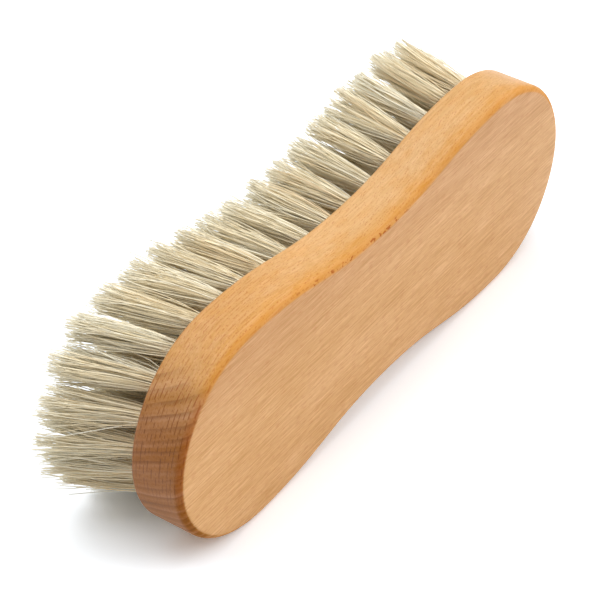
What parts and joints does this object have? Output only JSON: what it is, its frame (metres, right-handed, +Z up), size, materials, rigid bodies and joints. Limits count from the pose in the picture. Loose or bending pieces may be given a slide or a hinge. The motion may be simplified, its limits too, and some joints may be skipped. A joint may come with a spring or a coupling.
{
  "type": "scrub brush",
  "caption": "Wooden hand scrub brush: a waisted beech block with rounded edges, set with rows of stiff pale plant-fibre tufts, lying on its long edge.",
  "frame": {"origin": "middle of the whole brush's footprint, on the surface that it lies on", "axes": "+X along the block, away from the end where the bristles splay most; +Y the way the bristles point; +Z up, across the block's width"},
  "size_m": [0.2041, 0.048, 0.0715],
  "materials": {
    "beech": "satin",
    "plant_fibre": "matte"
  },
  "bodies": {
    "root": {"wood_block": "beech", "rim_tuft_01": "plant_fibre", "rim_tuft_02": "plant_fibre", "rim_tuft_03": "plant_fibre", "rim_tuft_04": "plant_fibre", "rim_tuft_05": "plant_fibre", "rim_tuft_06": "plant_fibre", "rim_tuft_07": "plant_fibre", "rim_tuft_08": "plant_fibre", "rim_tuft_09": "plant_fibre", "rim_tuft_10": "plant_fibre", "rim_tuft_11": "plant_fibre", "rim_tuft_12": "plant_fibre", "rim_tuft_13": "plant_fibre", "rim_tuft_14": "plant_fibre", "rim_tuft_15": "plant_fibre", "rim_tuft_16": "plant_fibre", "rim_tuft_17": "plant_fibre", "rim_tuft_18": "plant_fibre", "rim_tuft_19": "plant_fibre", "rim_tuft_20": "plant_fibre", "rim_tuft_21": "plant_fibre", "rim_tuft_22": "plant_fibre", "rim_tuft_23": "plant_fibre", "rim_tuft_24": "plant_fibre", "rim_tuft_25": "plant_fibre", "rim_tuft_26": "plant_fibre", "rim_tuft_27": "plant_fibre", "rim_tuft_28": "plant_fibre", "rim_tuft_29": "plant_fibre", "rim_tuft_30": "plant_fibre", "rim_tuft_31": "plant_fibre", "rim_tuft_32": "plant_fibre", "rim_tuft_33": "plant_fibre", "rim_tuft_34": "plant_fibre", "rim_tuft_35": "plant_fibre", "rim_tuft_36": "plant_fibre", "rim_tuft_37": "plant_fibre", "rim_tuft_38": "plant_fibre", "rim_tuft_39": "plant_fibre", "rim_tuft_40": "plant_fibre", "inner_row_01": "plant_fibre", "inner_row_02": "plant_fibre", "inner_row_03": "plant_fibre", "inner_row_04": "plant_fibre", "inner_row_05": "plant_fibre", "inner_row_06": "plant_fibre", "inner_row_07": "plant_fibre", "inner_row_08": "plant_fibre", "inner_row_09": "plant_fibre", "inner_row_10": "plant_fibre", "inner_row_11": "plant_fibre", "inner_row_12": "plant_fibre", "inner_row_13": "plant_fibre", "inner_row_14": "plant_fibre", "inner_row_15": "plant_fibre", "inner_row_16": "plant_fibre", "inner_row_17": "plant_fibre"}
  },
  "joints": []
}
